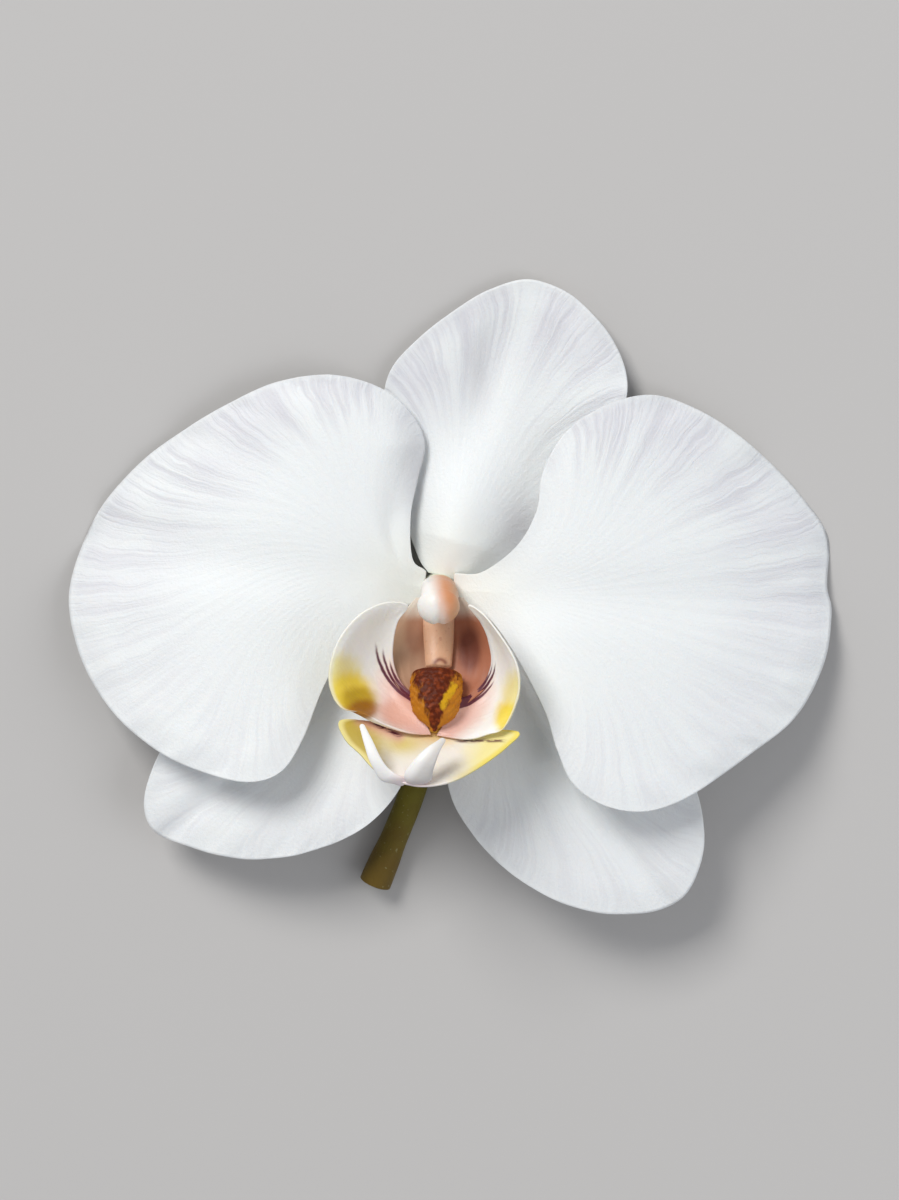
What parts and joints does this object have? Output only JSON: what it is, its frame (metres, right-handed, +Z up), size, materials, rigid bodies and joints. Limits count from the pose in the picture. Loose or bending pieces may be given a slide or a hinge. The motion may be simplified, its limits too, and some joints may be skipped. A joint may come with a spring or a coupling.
{
  "type": "orchid flower",
  "caption": "Single white moth orchid flower, picked with its stalk and laid face up: sepals, broad petals, yellow and red three-lobed lip, and column under an anther cap.",
  "frame": {"origin": "middle of the bounding box on the surface that the flower lies on", "axes": "+Z up, out of the flower's face; +Y to the top of the flower, where its upper sepal is; +X to its right as it is looked at"},
  "size_m": [0.0994, 0.0824, 0.0279],
  "materials": {
    "petal_white": "satin, faintly veined",
    "sepal_white": "satin, faintly veined",
    "stalk_green": "satin",
    "lip_colours": "waxy",
    "column_white": "waxy",
    "cap_pink": "waxy",
    "pollen_wax": "waxy"
  },
  "bodies": {
    "root": {"petal_left": "petal_white", "petal_right": "petal_white", "dorsal_sepal": "sepal_white", "lateral_sepal_left": "sepal_white", "lateral_sepal_right": "sepal_white", "lip": "lip_colours", "column": "column_white", "anther_cap": "cap_pink", "pollinarium": "pollen_wax", "pedicel": "stalk_green"}
  },
  "joints": []
}
